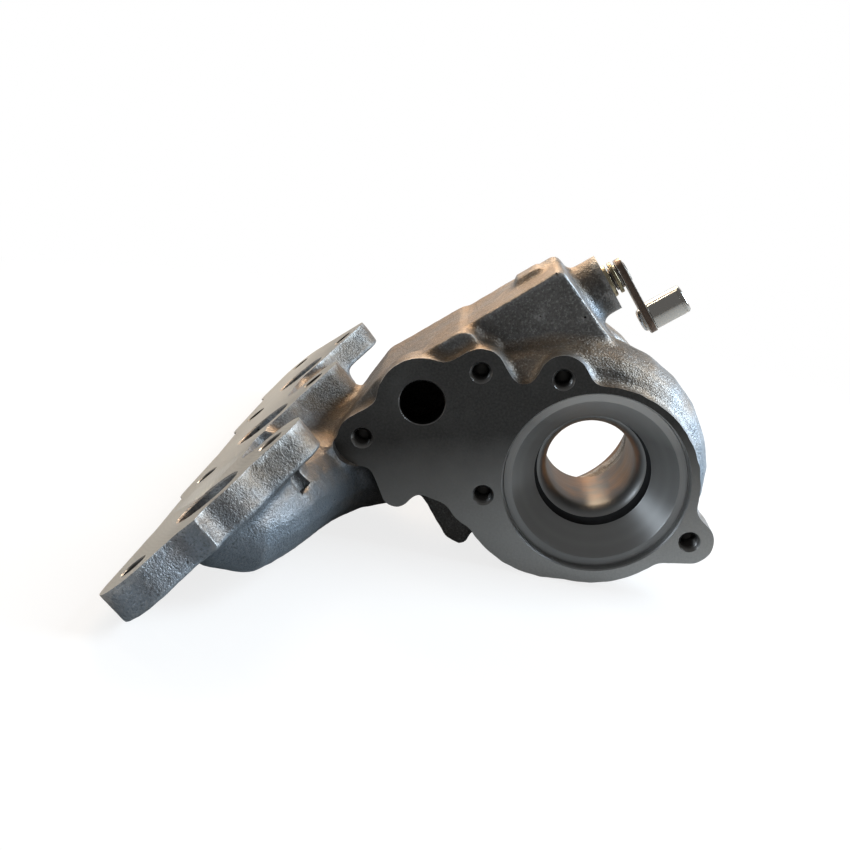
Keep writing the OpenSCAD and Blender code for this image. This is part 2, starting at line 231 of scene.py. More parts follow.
def rim(mesh, flat):
    """The longest loop round the faces of a mesh that lie in one plane."""
    work = bmesh.new()
    work.from_mesh(mesh)
    bmesh.ops.remove_doubles(work, verts=work.verts, dist=1e-6)
    faces = {f for f in work.faces if all(flat(v.co) for v in f.verts)}
    left = {e for e in work.edges if sum(f in faces for f in e.link_faces) == 1}
    loops = []
    while left:
        edge = left.pop()
        loop = [edge.verts[0], edge.verts[1]]
        while True:
            following = next((e for e in loop[-1].link_edges if e in left), None)
            if following is None:
                break
            left.discard(following)
            loop.append(following.other_vert(loop[-1]))
        loops.append([v.co.copy() / MM for v in loop[:-1]])
    work.free()
    return max(loops, key=lambda loop: sum((a - b).length for a, b in zip(loop, loop[1:])))


def widened(loop, by):
    """A closed flat outline moved outwards by a distance."""
    area = sum(a[0] * b[1] - b[0] * a[1] for a, b in zip(loop, loop[1:] + loop[:1]))
    side = 1 if area > 0 else -1
    moved = []
    for a, b, c in zip(loop[-1:] + loop[:-1], loop, loop[1:] + loop[:1]):
        run = Vector((c[0] - a[0], c[1] - a[1])).normalized()
        moved.append((b[0] + side * by * run[1], b[1] - side * by * run[0]))
    return moved


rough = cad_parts["turbine_housing"].data.copy()
face_loop = rim(rough, lambda p: abs(p.y) < ON_PLANE)
outlet_loop = rim(rough, lambda p: abs(p.y - OUTLET_Y * MM) < ON_PLANE)
boss_axis = (gate @ Vector((1, 0, 0, 0))).to_3d()
for v in rough.vertices:
    # allowance on the faces that are machined later
    if abs(v.co.y) < ON_PLANE:
        v.co.y -= ALLOWANCE * MM
    elif abs(v.co.y - OUTLET_Y * MM) < ON_PLANE:
        v.co.y += ALLOWANCE * MM
    elif abs(v.co.dot(flange_out) - FLANGE_REACH * MM) < ON_PLANE:
        v.co += ALLOWANCE * MM * flange_out
    elif abs(v.co.dot(boss_axis) - BOSS_END * MM) < ON_PLANE:
        v.co += ALLOWANCE * MM * boss_axis
casting = bpy.data.objects.new("iron_casting", rough)
scene.collection.objects.link(casting)

# stock that fills the bores a little smaller than they are cut
OVER = -ALLOWANCE
BOSS_OVER, OUTLET_OVER, FLANGE_OVER = BOSS_END + ALLOWANCE, OUTLET_Y + ALLOWANCE, FLANGE_REACH + ALLOWANCE
stock = [
    turned("stock", [(34.9, OVER), (34.9, 2.4), (31.3, 2.4), (21.9, 14), (21.9, 16.2), (32.4, 16.2),
                     (34, 14.5), (38, 12), (38, OVER)], along_turbine()),
    turned("stock", [(20.9, 19.4), (16.9, 26.5), (16.9, 57.9), (20.5, 57.9), (20.5, 30), (23.5, 26),
                     (24.5, 21.5), (24.5, 19.4)], along_turbine()),
    turned("stock", [(0, OVER), (10.8, OVER), (10.8, 13), (0, 13)], along_turbine(*SENSOR_AT), 32),
    turned("stock", [(BOWL_R - 1.2, 66), (BOWL_R - 1.2, OUTLET_OVER), (BOWL_R + 2, OUTLET_OVER),
                     (BOWL_R + 2, 66)], along_turbine(*BOWL_AT)),
    turned("stock", [(0, 20), (9, 20), (9, BOSS_OVER), (0, BOSS_OVER)], along_spindle(), 32),
    turned("stock", [(8.2, 40.5), (8.2, 45.9), (14.4, 45.9), (14.4, 43.5), (11.5, 42), (11.5, 40.5)],
           gate @ Matrix.Translation((3, 0, 40)) @ along_turbine(), 48),
]
for at in FACE_TAPS:
    stock.append(turned("stock", [(0, OVER), (5.2, OVER), (5.2, 12.5), (0, 12.5)], along_turbine(*at), 24))
for at in OUTLET_TAPS:
    stock.append(turned("stock", [(0, OUTLET_Y - 9.5), (6, OUTLET_Y - 9.5), (6, OUTLET_OVER),
                                  (0, OUTLET_OVER)], along_turbine(*at), 24))
for s, y in FLANGE_STUDS:
    stock.append(turned("stock", [(0, 83.4), (7, 83.4), (7, FLANGE_OVER), (0, FLANGE_OVER)],
                        out_of_flange(s, y), 24))
for y in PORT_YS:
    stock.append(turned("stock", [(11.2, 83), (11.2, FLANGE_OVER), (14.6, FLANGE_OVER), (14.6, 83)],
                        out_of_flange(PORT_ROW, y), 48))
casting = together("iron_casting", [casting] + stock)

# the moulder's fillets: the skin swells, closes over the inside corners and goes back
remesh(casting, SHELL_STEP)
relax(casting, 1)
swell(casting, FILLET)
remesh(casting, SHELL_STEP)
relax(casting, 2)
swell(casting, -FILLET)
remesh(casting, SHELL_STEP)
relax(casting, 3)
# sand casting leaves the skin slightly wavy
count = len(casting.data.vertices)
places = np.empty(count * 3)
casting.data.vertices.foreach_get("co", places)
places = places.reshape(-1, 3)
normals = np.empty(count * 3)
casting.data.vertices.foreach_get("normal", normals)
wave = np.array([noise.noise(Vector(p) * BROAD_WAVES) + 0.8 * noise.noise(Vector(p) * FINE_WAVES)
                 for p in places])
places += normals.reshape(-1, 3) * (wave * WAVE_HEIGHT * MM)[:, None]
places = np.clip(places, np.array(cad_box[0]) + ON_PLANE, np.array(cad_box[1]) - ON_PLANE)
casting.data.vertices.foreach_set("co", places.ravel())
casting.data.update()

trim = casting.modifiers.new("Trim", "DECIMATE")
trim.ratio = min(1.0, CASTING_TRIANGLES / max(1, 2 * len(casting.data.polygons)))
settle(casting)

# milled faces
machine(casting, slab("face_mill", widened([(p.x, -p.z) for p in face_loop], 1.6), along_turbine(), -8, 0))
machine(casting, slab("outlet_mill", widened([(p.x, -p.z) for p in outlet_loop], 1.6), along_turbine(),
                      OUTLET_Y, OUTLET_Y + 8))
machine(casting, slab("flange_mill", [(-160, -120), (-20, -120), (-20, 190), (-160, 190)], flange,
                      FLANGE_REACH, FLANGE_REACH + 9))
machine(casting, turned("boss_mill", [(0, BOSS_END), (17, BOSS_END), (17, 50), (0, 50)], along_spindle()))

# turned bores: bearing pilot, conical land, nozzle slot, shroud and exducer, then the outlet
shroud = [(EXDUCER_R + 4 * (1 - math.sin(t)), NOZZLE_FAR + 7 * (1 - math.cos(t)) ** 0.85)
          for t in np.linspace(0, math.pi / 2, 9)]
bearing_profile = [(0, -6), (PILOT_R + 0.5, -6), (PILOT_R + 0.5, 0), (PILOT_R, 0.5), (PILOT_R, 3.05),
                   (36.3, 3.15), (36.3, 3.75), (35.7, 3.8), (35.4, PILOT_DEPTH), (32.5, PILOT_DEPTH),
                   (32.2, 3.7), (23.5, 14.8), (23.2, NOZZLE_NEAR), (NOZZLE_R, NOZZLE_NEAR),
                   (NOZZLE_R, NOZZLE_FAR)]
bearing_profile += shroud + [(EXDUCER_R, 56.8), (18.8, 58.1), (18.8, 90), (0, 90)]
machine(casting, turned("bearing_bore", bearing_profile, along_turbine(), 192))
machine(casting, turned("outlet_bore", [(0, 70), (BOWL_R, 70), (BOWL_R, 75.4), (BOWL_R + 0.6, 76),
                                        (BOWL_R + 0.6, 84), (0, 84)], along_turbine(*BOWL_AT), 144))


def tapped(at, mouth, bottom, out, threaded):
    """A tapped hole from a mouth down to its drill point; the tool starts a distance out of it."""
    into = 1 if bottom > mouth else -1
    profile = [(0, mouth - into * out), (THREAD_R + 0.35, mouth - into * out), (THREAD_R + 0.35, mouth),
               (TAP_R + 0.15, mouth + into * 0.7)]
    depth = 0.9
    while depth < threaded:
        profile += [(TAP_R, mouth + into * depth), (TAP_R, mouth + into * (depth + 0.25)),
                    (THREAD_R, mouth + into * (depth + 0.75)), (THREAD_R, mouth + into * (depth + 0.9))]
        depth += THREAD_PITCH
    profile += [(TAP_R, mouth + into * depth), (TAP_R, bottom - into * 1.6), (0, bottom + into * 0.2)]
    return turned("tap", profile, along_turbine(*at), 40)


holes = [tapped(at, 0, TAP_DEPTH + 1, 3, 9.0) for at in FACE_TAPS]
holes += [tapped(at, OUTLET_Y, OUTLET_Y - 13.6, 4, 8.8) for at in OUTLET_TAPS]
holes.append(turned("sensor", [(0, -3), (SENSOR_R + 0.35, -3), (SENSOR_R + 0.35, 0), (SENSOR_R, 0.35),
                               (SENSOR_R, 24), (0, 24)], along_turbine(*SENSOR_AT), 72))
for s, y in FLANGE_STUDS:
    holes.append(turned("stud", [(0, 74), (STUD_R + 0.4, 74), (STUD_R + 0.4, 82.4), (STUD_R, FLANGE_BACK),
                                 (STUD_R, 94.4), (STUD_R + 0.4, FLANGE_REACH), (STUD_R + 0.4, 99), (0, 99)],
                        out_of_flange(s, y), 48))
machine(casting, together("drills", holes))
ports = [turned("port", [(0, 82.3), (PORT_R, 82.3), (PORT_R, 94.2), (PORT_R + 0.6, FLANGE_REACH),
                         (PORT_R + 0.6, 99), (0, 99)], out_of_flange(PORT_ROW, y), 72) for y in PORT_YS]
ports.append(turned("boss_drill", [(0, 17.5), (BUSH_R, 17.5), (BUSH_R, 40.6), (BUSH_R + 0.4, BOSS_END),
                                   (BUSH_R + 0.4, 45), (0, 45)], along_spindle(), 72))
machine(casting, together("reamers", ports))
seat_place = gate @ Matrix.Translation((3, 0, 40)) @ along_turbine()
machine(casting, turned("gate_seat", [(0, 34), (GATE_PORT_R, 34), (GATE_PORT_R, SEAT_Y - 0.5),
                                      (GATE_PORT_R + 0.5, SEAT_Y), (SEAT_R, SEAT_Y), (SEAT_R, 51), (0, 51)],
                        seat_place, 72))

# a few blowholes that the blasting opened
BLOWHOLES = ((-16.6, 18.0, 60.0, 0.55), (-30.9, 17.8, 74.1, 0.5), (-29.5, 18.0, 49.9, 0.5),
             (-33.5, 18.0, 57.0, 0.35))
machine(casting, together("blowholes", [
    turned("blowhole", [(0, -0.8), (r * 0.7, -0.5), (r, 0.2), (r * 0.8, 1.2), (0, 1.6)],
           Matrix.Translation((x, y, z)) @ along_turbine(), 12) for x, y, z, r in BLOWHOLES]))
work = bmesh.new()
work.from_mesh(casting.data)
bmesh.ops.triangulate(work, faces=[f for f in work.faces if len(f.verts) > 3])
work.to_mesh(casting.data)
work.free()


def wire(tree, kind, inputs=None, **settings):
    """Adds a node; an input is either a plain value or the output socket that feeds it."""
    made = tree.nodes.new(kind)
    for key, value in settings.items():
        setattr(made, key, value)
    for key, value in (inputs or {}).items():
        if isinstance(value, bpy.types.NodeSocket):
            tree.links.new(value, made.inputs[key])
        else:
            made.inputs[key].default_value = value
    return made


def maths(tree, how, a, b=0.0):
    return wire(tree, "ShaderNodeMath", {0: a, 1: b}, operation=how).outputs[0]


def axes_of(tree, vector):
    return wire(tree, "ShaderNodeSeparateXYZ", {0: vector}).outputs


def fade(tree, value, low, high, to_low=0.0, to_high=1.0):
    """Maps a value between two limits on to another range, held at both ends."""
    made = wire(tree, "ShaderNodeMapRange", {"Value": value, "From Min": low, "From Max": high,
                                             "To Min": to_low, "To Max": to_high}, clamp=True)
    return made.outputs["Result"]


def mixed(tree, amount, a, b):
    """Blends two colours, each a plain one or a socket."""
    made = tree.nodes.new("ShaderNodeMix")
    made.data_type = "RGBA"
    for key, value in (("Factor_Float", amount), ("A_Color", a), ("B_Color", b)):
        socket = next(s for s in made.inputs if s.identifier == key)
        if isinstance(value, bpy.types.NodeSocket):
            tree.links.new(value, socket)
        else:
            socket.default_value = value if key == "Factor_Float" else (*value, 1.0)
    return next(s for s in made.outputs if s.identifier == "Result_Color")


def speckle(tree, place, scale, detail=3.0, rough=0.55):
    return wire(tree, "ShaderNodeTexNoise", {"Vector": place, "Scale": scale, "Detail": detail,
                                             "Roughness": rough}).outputs["Fac"]


def effect(name, inputs, outputs):
    """A shader node group with named number or vector inputs and outputs."""
    group = bpy.data.node_groups.new(name, "ShaderNodeTree")
    for label, kind, value in inputs:
        socket = group.interface.new_socket(name=label, in_out="INPUT", socket_type="NodeSocket" + kind)
        if value is not None:
            socket.default_value = value
    for label, kind in outputs:
        group.interface.new_socket(name=label, in_out="OUTPUT", socket_type="NodeSocket" + kind)
    start, end = group.nodes.new("NodeGroupInput"), group.nodes.new("NodeGroupOutput")
    return group, start.outputs, end.inputs


def put(tree, group, **inputs):
    made = tree.nodes.new("ShaderNodeGroup")
    made.node_tree = group
    for key, value in inputs.items():
        socket = made.inputs[key.replace("_", " ")]
        if isinstance(value, bpy.types.NodeSocket):
            tree.links.new(value, socket)
        else:
            socket.default_value = value
    return made.outputs


# sand grain: fine blasted grain, soft lumps and a few pinholes, with painted glints on the grain and painted
# shade in its hollows
sand_grain, given, out = effect("sand_grain", [("Place", "Vector", None), ("Grain", "Float", 1250.0),
                                               ("Lumps", "Float", 420.0)],
                                [("Height", "Float"), ("Mottle", "Float"), ("Glint", "Float"),
                                 ("Hollow", "Float"), ("Pits", "Float")])
fine = speckle(sand_grain, given["Place"], given["Grain"], 3.0, 0.65)
sand_grain.links.new(fade(sand_grain, fine, 0.54, 0.68), out["Glint"])
sand_grain.links.new(fade(sand_grain, fine, 0.46, 0.34), out["Hollow"])
lumps = speckle(sand_grain, given["Place"], given["Lumps"], 2.0, 0.5)
cells = wire(sand_grain, "ShaderNodeTexVoronoi", {"Vector": given["Place"], "Scale": 190.0})
pits = fade(sand_grain, cells.outputs["Distance"], 0.05, 0.13, 1.0, 0.0)
rare = fade(sand_grain, cells.outputs["Color"], 0.80, 0.83)
pits = maths(sand_grain, "MULTIPLY", pits, rare)
height = maths(sand_grain, "ADD", maths(sand_grain, "MULTIPLY", fine, 0.75),
               maths(sand_grain, "MULTIPLY", lumps, 0.45))
height = maths(sand_grain, "SUBTRACT", height, maths(sand_grain, "MULTIPLY", pits, 0.8))
sand_grain.links.new(height, out["Height"])
clouds = speckle(sand_grain, given["Place"], 60.0, 6.0, 0.7)
sand_grain.links.new(fade(sand_grain, clouds, 0.34, 0.66), out["Mottle"])
sand_grain.links.new(pits, out["Pits"])

# worn edges: proud edges are rubbed bright by wear and lit by a painted edge highlight; sunk corners get
# painted shade
edge_wear_and_light, given, out = effect("edge_wear_and_light", [("Place", "Vector", None), ("Reach", "Float", 0.05)],
                               [("WornAndLit", "Float"), ("Sunk", "Float")])
sharp = wire(edge_wear_and_light, "ShaderNodeNewGeometry").outputs["Pointiness"]
patchy = fade(edge_wear_and_light, speckle(edge_wear_and_light, given["Place"], 420.0, 3.0), 0.25, 0.75, 0.35, 1.0)
worn_and_lit = fade(edge_wear_and_light, sharp, 0.512, maths(edge_wear_and_light, "ADD", 0.512, given["Reach"]))
edge_wear_and_light.links.new(maths(edge_wear_and_light, "MULTIPLY", worn_and_lit, patchy), out["WornAndLit"])
edge_wear_and_light.links.new(fade(edge_wear_and_light, sharp, 0.43, 0.49, 1.0, 0.0), out["Sunk"])

# fine dust of rust on whatever faces up, together with painted warm light falling on the upward faces
dust_and_top_light, given, out = effect("dust_and_top_light", [("Place", "Vector", None), ("Amount", "Float", 0.5)],
                                  [("DustAndLight", "Float")])
facing = axes_of(dust_and_top_light, wire(dust_and_top_light, "ShaderNodeNewGeometry").outputs["Normal"])["Z"]
upward = fade(dust_and_top_light, facing, 0.15, 0.85)
clouds = fade(dust_and_top_light, speckle(dust_and_top_light, given["Place"], 60.0, 4.0, 0.65), 0.30, 0.62, 0.25, 1.0)
dust_and_top_light.links.new(maths(dust_and_top_light, "MULTIPLY", maths(dust_and_top_light, "MULTIPLY", upward, clouds),
                             given["Amount"]), out["DustAndLight"])

# tool marks: rings that a lathe or a mill leaves round an axis along the turbine
turning_marks, given, out = effect("turning_marks", [("Place", "Vector", None), ("Pitch", "Float", 0.00025)],
                                   [("Height", "Float"), ("Bands", "Float")])
axes = axes_of(turning_marks, given["Place"])
radius = maths(turning_marks, "SQRT", maths(turning_marks, "ADD",
                                            maths(turning_marks, "MULTIPLY", axes["X"], axes["X"]),
                                            maths(turning_marks, "MULTIPLY", axes["Z"], axes["Z"])))
along = maths(turning_marks, "DIVIDE", maths(turning_marks, "ADD", radius, axes["Y"]), given["Pitch"])
ringed = wire(turning_marks, "ShaderNodeCombineXYZ",
              {"X": along, "Y": maths(turning_marks, "MULTIPLY", axes["X"], 14.0),
               "Z": maths(turning_marks, "MULTIPLY", axes["Z"], 14.0)})
turning_marks.links.new(speckle(turning_marks, ringed.outputs[0], 1.0, 1.0), out["Height"])
wide = wire(turning_marks, "ShaderNodeCombineXYZ", {"X": maths(turning_marks, "MULTIPLY", along, 0.12)})
bands = speckle(turning_marks, wide.outputs[0], 1.0, 2.0)
turning_marks.links.new(fade(turning_marks, bands, 0.3, 0.7), out["Bands"])


def new_material(name, **fixed):
    """A material with its Principled shader; constant values go straight on the shader."""
    made = bpy.data.materials.new(name)
    made.use_nodes = True
    tree = made.node_tree
    shader = tree.nodes["Principled BSDF"]
    for key, value in fixed.items():
        shader.inputs[key.replace("_", " ")].default_value = value
    place = wire(tree, "ShaderNodeTexCoord").outputs["Object"]
    return made, tree, shader, place


def bumped(tree, shader, height, depth, strength=0.6):
    """Relief of a depth in mm from a height between 0 and 1."""
    made = wire(tree, "ShaderNodeBump", {"Height": height, "Strength": strength, "Distance": depth * MM})
    tree.links.new(made.outputs["Normal"], shader.inputs["Normal"])


IRON_DARK = (0.100, 0.095, 0.088)
IRON_MID = (0.165, 0.158, 0.150)
IRON_BRIGHT = (0.50, 0.49, 0.475)
# colour of the painted shade over the flange
IRON_SHADE = (0.050, 0.046, 0.041)
# rust dust, also standing for painted warm light on upward faces
RUST_DUST_AND_WARM_LIGHT = (0.205, 0.125, 0.060)
# colour of the painted bluish window light
WINDOW_BLUE = (0.290, 0.345, 0.405)
# colour of the painted shade in sunk corners
CORNER_SHADE = (0.035, 0.031, 0.027)
GRAIN_SHADE = (0.045, 0.042, 0.039)
PIT_BLACK = (0.012, 0.011, 0.010)

cast_skin, tree, shader, place = new_material("cast_iron_skin", Metallic=0.72)
grain = put(tree, sand_grain, Place=place)
wear_and_light = put(tree, edge_wear_and_light, Place=place)
dust_and_light = put(tree, dust_and_top_light, Place=place, Amount=0.75)
spot = axes_of(tree, place)
tone = mixed(tree, grain["Mottle"], IRON_DARK, IRON_MID)
# painted shade: darker and browner over the upper manifold flange
painted_shade = maths(tree, "MULTIPLY", fade(tree, spot["X"], -0.030, -0.070, 0.0, 0.75),
              fade(tree, spot["X"], -0.150, -0.115, 0.0, 1.0))
tone = mixed(tree, painted_shade, tone, IRON_SHADE)
# painted bluish window light on what faces right and up, and over the low end of the flange
turned_to = axes_of(tree, wire(tree, "ShaderNodeNewGeometry").outputs["Normal"])
window_light = maths(tree, "MULTIPLY", fade(tree, turned_to["X"], 0.15, 0.75, 0.0, 0.85),
             fade(tree, turned_to["Z"], -0.45, 0.0))
window_light = maths(tree, "MULTIPLY", window_light, fade(tree, spot["X"], -0.060, -0.015, 0.25, 1.0))
tone = mixed(tree, window_light, tone, WINDOW_BLUE)
low_end = maths(tree, "MULTIPLY", fade(tree, spot["X"], -0.080, -0.110), fade(tree, spot["Z"], 0.004, -0.016))
tone = mixed(tree, maths(tree, "MULTIPLY", low_end, 0.6), tone, WINDOW_BLUE)
# rust dust and painted warm light on the upward faces
tone = mixed(tree, dust_and_light["DustAndLight"], tone, RUST_DUST_AND_WARM_LIGHT)
# proud edges lighter: wear and a painted edge highlight
tone = mixed(tree, maths(tree, "MULTIPLY", wear_and_light["WornAndLit"], 0.55), tone, IRON_BRIGHT)
# painted shade in the sunk corners
tone = mixed(tree, maths(tree, "MULTIPLY", wear_and_light["Sunk"], 0.5), tone, CORNER_SHADE)
# painted glints on the grain, fewer where the flange has painted shade
glint = maths(tree, "MULTIPLY", grain["Glint"], fade(tree, painted_shade, 0.0, 0.75, 0.36, 0.14))
tone = mixed(tree, glint, tone, IRON_BRIGHT)
# painted shade in the grain hollows
tone = mixed(tree, maths(tree, "MULTIPLY", grain["Hollow"], 0.5), tone, GRAIN_SHADE)
tone = mixed(tree, grain["Pits"], tone, PIT_BLACK)
tree.links.new(tone, shader.inputs["Base Color"])
tree.links.new(fade(tree, grain["Mottle"], 0, 1, 0.36, 0.50), shader.inputs["Roughness"])
bumped(tree, shader, grain["Height"], 0.45, 1.0)

milled_skin, tree, shader, place = new_material("milled_iron", Metallic=0.75)
mottle = speckle(tree, place, 34.0, 4.0, 0.6)
axes = axes_of(tree, place)
# painted shade: the plate is darkest at its upper left and lighter towards the lower right
lower = fade(tree, maths(tree, "SUBTRACT", maths(tree, "MULTIPLY", axes["X"], 0.27), axes["Z"]),
             -0.024, 0.036)
shade_and_mottle = maths(tree, "ADD", lower, maths(tree, "MULTIPLY", maths(tree, "SUBTRACT", mottle, 0.5), 0.25))
tone = mixed(tree, fade(tree, shade_and_mottle, 0.0, 1.0), (0.044, 0.043, 0.041), (0.52, 0.51, 0.49))
fine = speckle(tree, place, 1100.0, 3.0, 0.65)
tone = mixed(tree, fade(tree, fine, 0.35, 0.8, 0.0, 0.3), tone, IRON_MID)
tree.links.new(tone, shader.inputs["Base Color"])
tree.links.new(fade(tree, mottle, 0.3, 0.7, 0.40, 0.50), shader.inputs["Roughness"])
bumped(tree, shader, fine, 0.05, 0.4)

flange_skin, tree, shader, place = new_material("milled_flange", Metallic=0.7)
arcs = wire(tree, "ShaderNodeTexWave",
            {"Vector": place, "Scale": 260.0, "Distortion": 1.2, "Detail": 2.0, "Detail Scale": 0.4},
            wave_type="RINGS", rings_direction="SPHERICAL").outputs["Fac"]
mottle = speckle(tree, place, 45.0, 5.0, 0.65)
fine = speckle(tree, place, 1300.0, 3.0, 0.6)
tone = mixed(tree, fade(tree, mottle, 0.35, 0.65), (0.21, 0.20, 0.18), (0.36, 0.35, 0.32))
tone = mixed(tree, fade(tree, arcs, 0.0, 1.0, 0.0, 0.22), tone, (0.46, 0.45, 0.42))
# paler towards the low end
tone = mixed(tree, fade(tree, axes_of(tree, place)["Z"], 0.002, -0.020, 0.0, 0.6), tone, (0.62, 0.61, 0.57))
tone = mixed(tree, fade(tree, fine, 0.55, 0.75, 0.0, 0.3), tone, (0.12, 0.115, 0.105))
tree.links.new(tone, shader.inputs["Base Color"])
tree.links.new(fade(tree, mottle, 0.3, 0.7, 0.36, 0.48), shader.inputs["Roughness"])
bumped(tree, shader, maths(tree, "ADD", arcs, fine), 0.02, 0.4)

turned_skin, tree, shader, place = new_material("turned_iron", Metallic=0.85, Anisotropic=0.65,
                                                Anisotropic_Rotation=0.25)
marks = put(tree, turning_marks, Place=place, Pitch=0.00022)
axes = axes_of(tree, place)
tone = mixed(tree, marks["Bands"], (0.26, 0.257, 0.252), (0.36, 0.357, 0.35))
# painted shade deeper in the bore
tone = mixed(tree, fade(tree, axes["Y"], 0.020, 0.027, 0.0, 0.85), tone, (0.030, 0.028, 0.026))
# painted highlight on the upper part of the bore
tone = mixed(tree, fade(tree, axes["Z"], 0.018, 0.034, 0.0, 0.7), tone, (0.78, 0.77, 0.75))
# a straw tint from heat, low on the right of the exducer bore
low_right = maths(tree, "SUBTRACT", axes["Z"], maths(tree, "MULTIPLY", axes["X"], 0.5))
straw = maths(tree, "MULTIPLY", fade(tree, axes["Y"], 0.024, 0.034), fade(tree, low_right, 0.004, -0.014))
straw = maths(tree, "MULTIPLY", straw, fade(tree, speckle(tree, place, 70.0), 0.35, 0.6))
tone = mixed(tree, straw, tone, (0.20, 0.105, 0.045))
tree.links.new(tone, shader.inputs["Base Color"])
tree.links.new(fade(tree, marks["Bands"], 0, 1, 0.34, 0.42), shader.inputs["Roughness"])
bumped(tree, shader, marks["Height"], 0.012, 0.35)
around = wire(tree, "ShaderNodeVectorMath", {0: place, 1: (0, 1, 0)}, operation="CROSS_PRODUCT")
around = wire(tree, "ShaderNodeVectorMath", {0: around.outputs[0]}, operation="NORMALIZE")
tree.links.new(around.outputs[0], shader.inputs["Tangent"])

# nozzle slot walls: nearly black, a painted shade in the slot, with blotchy noise
slot_shade_skin, tree, shader, place = new_material("nozzle_wall_shade", Metallic=0.2)
blotches = speckle(tree, place, 500.0)
tree.links.new(mixed(tree, blotches, (0.008, 0.008, 0.009), (0.03, 0.03, 0.032)), shader.inputs["Base Color"])
tree.links.new(fade(tree, blotches, 0.3, 0.7, 0.6, 0.8), shader.inputs["Roughness"])
bumped(tree, shader, blotches, 0.2)

drilled_skin, tree, shader, place = new_material("tapped_iron", Metallic=1.0, Roughness=0.3)
tone = mixed(tree, speckle(tree, place, 300.0), (0.14, 0.136, 0.13), (0.42, 0.41, 0.40))
# painted shade in the holes, darker further from the bearing face
tone = mixed(tree, fade(tree, axes_of(tree, place)["Y"], 0.0006, 0.004), tone, (0.05, 0.048, 0.045))
tree.links.new(tone, shader.inputs["Base Color"])
bumped(tree, shader, speckle(tree, place, 1800.0), 0.02)

mesh = casting.data
mesh.materials.clear()
for skin in (cast_skin, milled_skin, turned_skin, drilled_skin, flange_skin, slot_shade_skin):
    mesh.materials.append(skin)
CAST, MILLED, TURNED, DRILLED, FLANGED, NOZZLE = range(6)
count = len(mesh.polygons)
centres, facing = np.empty(count * 3), np.empty(count * 3)
mesh.polygons.foreach_get("center", centres)
mesh.polygons.foreach_get("normal", facing)
centres, facing = centres.reshape(-1, 3) / MM, facing.reshape(-1, 3)


def far_from(axis_place):
    """Distance from a place's z axis, and height along it, for every face of the casting."""
    inside = np.array(axis_place.inverted())
    local = centres @ inside[:3, :3].T + inside[:3, 3]
    return np.hypot(local[:, 0], local[:, 1]), local[:, 2]


skins = np.full(count, CAST)
out_n = np.array(flange_out)
far, deep = far_from(along_turbine())
bore = (deep > -0.01) & (deep < 3.9) & (far < 36.7)
bore |= (deep >= PILOT_DEPTH) & (deep < 15.01) & (far < PILOT_R - (deep - PILOT_DEPTH) * 0.7)
bore |= (deep > 20.4) & (deep < 58.2) & (far < 22.2) & (far < 18.9 + np.clip(28 - deep, 0, 5))
skins[bore] = TURNED
skins[(deep > 15.02) & (deep < 20.6) & (far > 22.3) & (far < 33)] = NOZZLE
far, deep = far_from(along_turbine(*BOWL_AT))
skins[(deep > 69.9) & (deep < 75.99) & (far < BOWL_R + 0.7)] = TURNED
for at in FACE_TAPS:
    far, deep = far_from(along_turbine(*at))
    skins[(far < THREAD_R + 0.4) & (deep < 13)] = DRILLED
for at in OUTLET_TAPS:
    far, deep = far_from(along_turbine(*at))
    skins[(far < THREAD_R + 0.4) & (deep > OUTLET_Y - OUTLET_T)] = DRILLED
for hole in [out_of_flange(s, y) for s, y in FLANGE_STUDS]:
    far, deep = far_from(hole)
    skins[(far < STUD_R + 0.5) & (deep > 82) & (deep < 94.79)] = DRILLED
far, deep = far_from(along_turbine(*SENSOR_AT))
skins[(far < SENSOR_R + 0.4) & (deep < 14)] = DRILLED
far, deep = far_from(seat_place)
skins[(far < SEAT_R + 0.01) & (deep > 44.4) & (deep < 45.01)] = MILLED
skins[(np.abs(centres[:, 1]) < 0.01) & (facing[:, 1] < -0.99)] = MILLED
skins[(np.abs(centres[:, 1] - OUTLET_Y) < 0.01) & (facing[:, 1] > 0.99)] = FLANGED
skins[(np.abs(centres @ out_n - FLANGE_REACH) < 0.01) & (facing @ out_n > 0.99)] = FLANGED
far, deep = far_from(along_spindle())
skins[(np.abs(deep - BOSS_END) < 0.01) & (far < 17)] = FLANGED
mesh.polygons.foreach_set("material_index", skins)
mesh.shade_smooth()
mesh.set_sharp_from_angle(angle=math.radians(32))
mesh.update()
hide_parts("turbine_housing")
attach(casting, "housing")


# Wastegate bushing: a sintered steel sleeve pressed into the cast boss. The spindle turns in
# it, and its end stands a little out of the boss with a chamfer inside and out.

sintered, tree, shader, place = new_material("sintered_steel", Metallic=1.0)
grey = speckle(tree, place, 500.0, 3.0)
tree.links.new(mixed(tree, grey, (0.30, 0.25, 0.16), (0.55, 0.47, 0.32)), shader.inputs["Base Color"])
tree.links.new(fade(tree, grey, 0.3, 0.7, 0.25, 0.4), shader.inputs["Roughness"])
bumped(tree, shader, speckle(tree, place, 2600.0, 2.0), 0.02)


def hardware(piece, material, node, body, smooth_below=38):
    """Gives a turned or stamped piece its finish and ties it to the node it stands for."""
    piece.data.materials.clear()
    piece.data.materials.append(material)
    piece.data.shade_smooth()
    piece.data.set_sharp_from_angle(angle=math.radians(smooth_below))
    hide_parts(node)
    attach(piece, body)


BUSH_BORE_R = 4.05
bushing = turned("gate_bushing", [(4.35, 19), (6.7, 19), (BUSH_R, 19.4), (BUSH_R, 41.7), (6.95, 42.2),
                                  (6.6, 42.6), (4.9, 42.6), (4.66, 42.5), (BUSH_BORE_R, 42.0),
                                  (BUSH_BORE_R, 19.3)], along_spindle(), 72)
hardware(bushing, sintered, "wastegate_bushing", "housing")


# Wastegate spindle with its crank arm: a heat resistant shaft. The arm that carries the flap is
# forged on inside the chamber, and the outer end has a collar, then a neck that is riveted over
# the lever.

